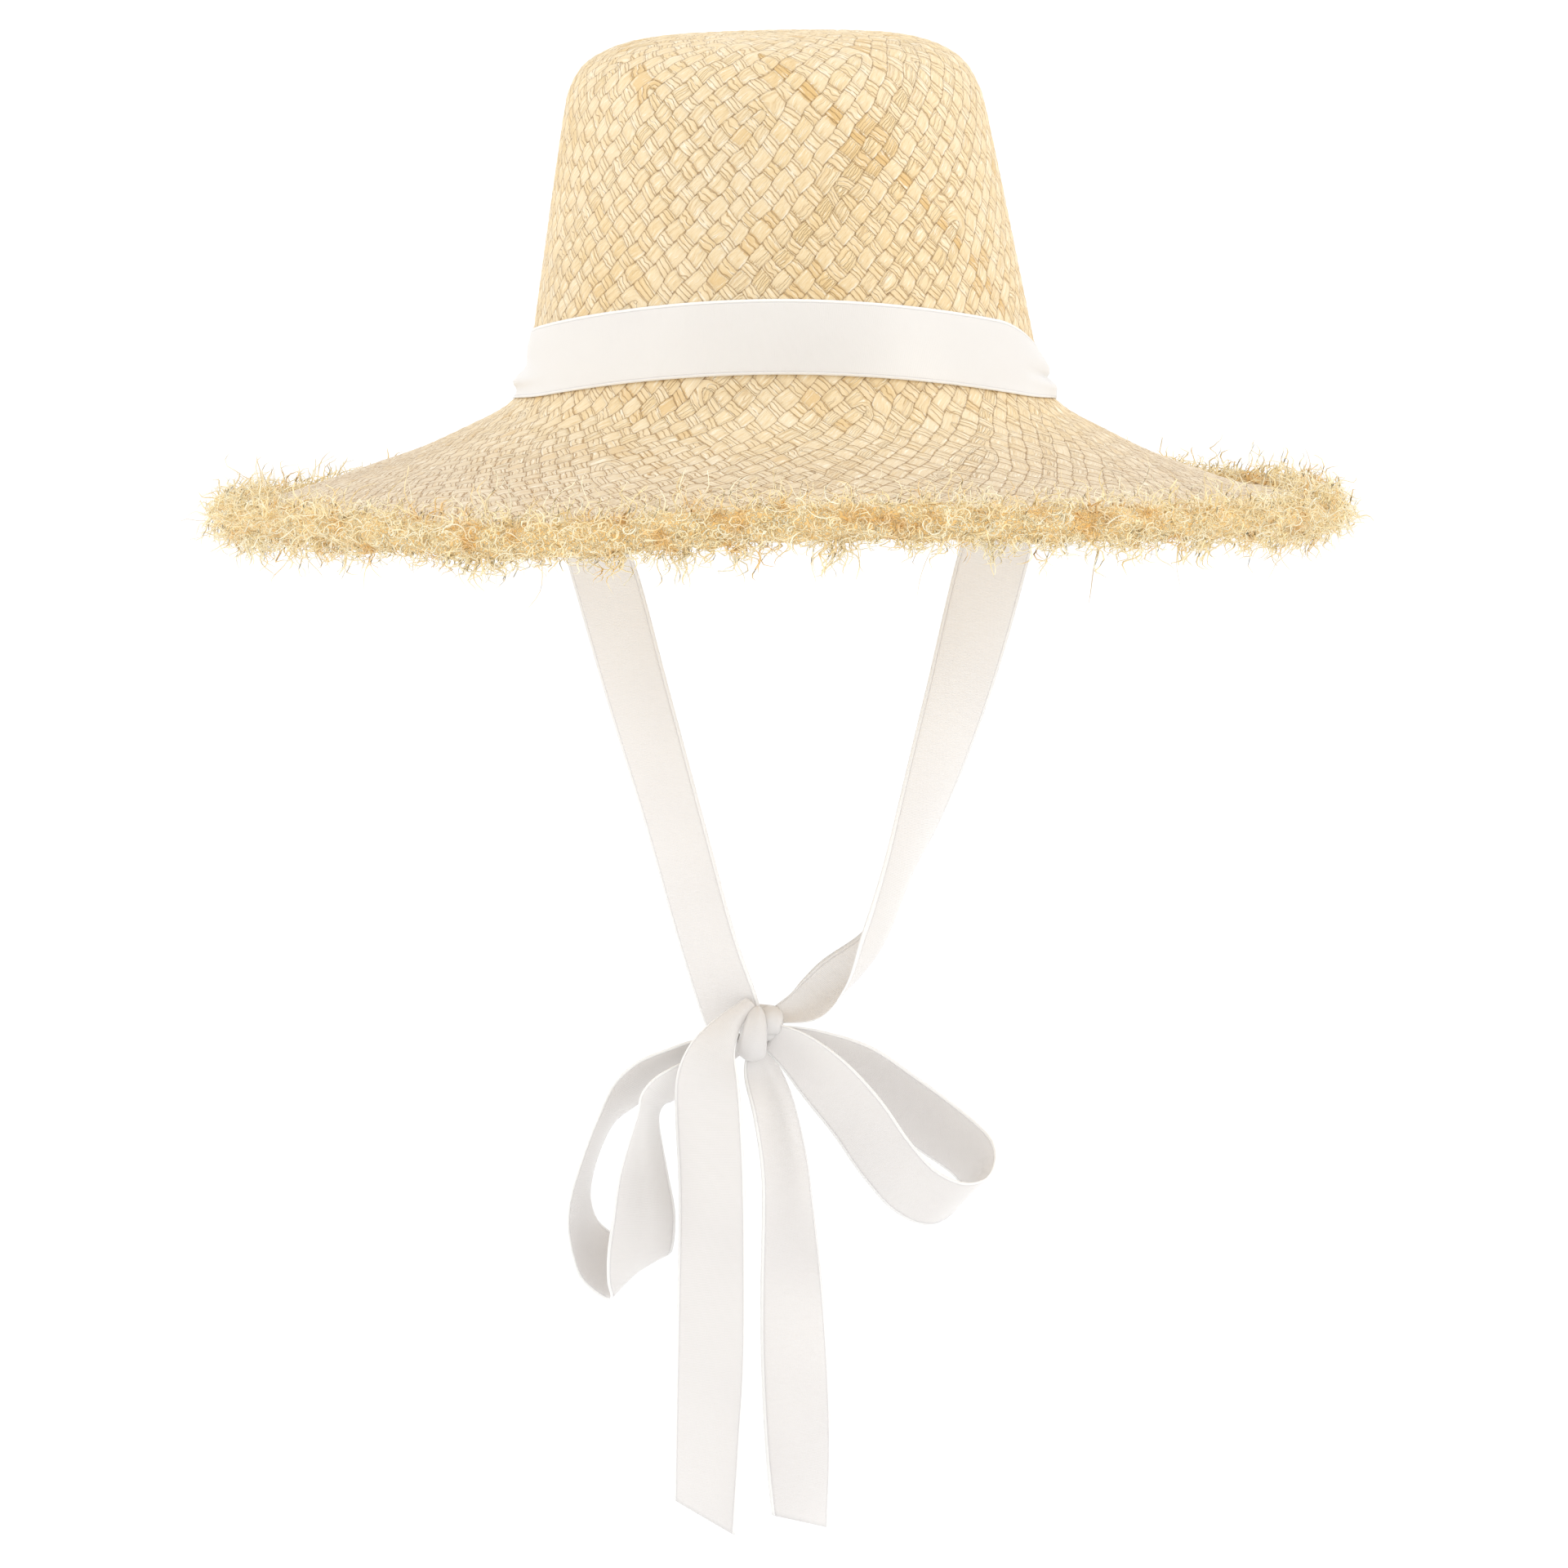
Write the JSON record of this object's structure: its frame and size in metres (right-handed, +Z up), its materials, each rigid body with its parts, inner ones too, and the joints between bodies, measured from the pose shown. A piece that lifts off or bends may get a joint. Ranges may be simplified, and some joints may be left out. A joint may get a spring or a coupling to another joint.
{
  "type": "woven straw sun hat with a satin ribbon chin tie",
  "caption": "Wide-brimmed floppy sun hat of woven straw with a tall tapered crown, a frayed brim edge and a white satin ribbon band that ties below in a long bow.",
  "frame": {"origin": "middle of the head opening, level with the line where crown and brim meet, where the hat sits on a head", "axes": "+Z up through the crown, -Y to the front of the hat, +X to the right as seen from the front"},
  "size_m": [0.3926, 0.4256, 0.517],
  "materials": {
    "straw": "plain-woven flat straw, matt with a slight natural sheen",
    "frayed_straw": "fine curly frayed straw fibres",
    "satin_ribbon": "off-white satin with fine cross ribs and a narrow selvedge"
  },
  "bodies": {
    "root": {"crown_and_brim": "straw", "brim_fringe": "frayed_straw", "hat_band": "satin_ribbon", "tie_left": "satin_ribbon", "tie_right": "satin_ribbon", "bow_knot": "satin_ribbon", "bow_loop_left": "satin_ribbon", "bow_loop_right": "satin_ribbon", "tail_left": "satin_ribbon", "tail_right": "satin_ribbon"}
  },
  "joints": []
}
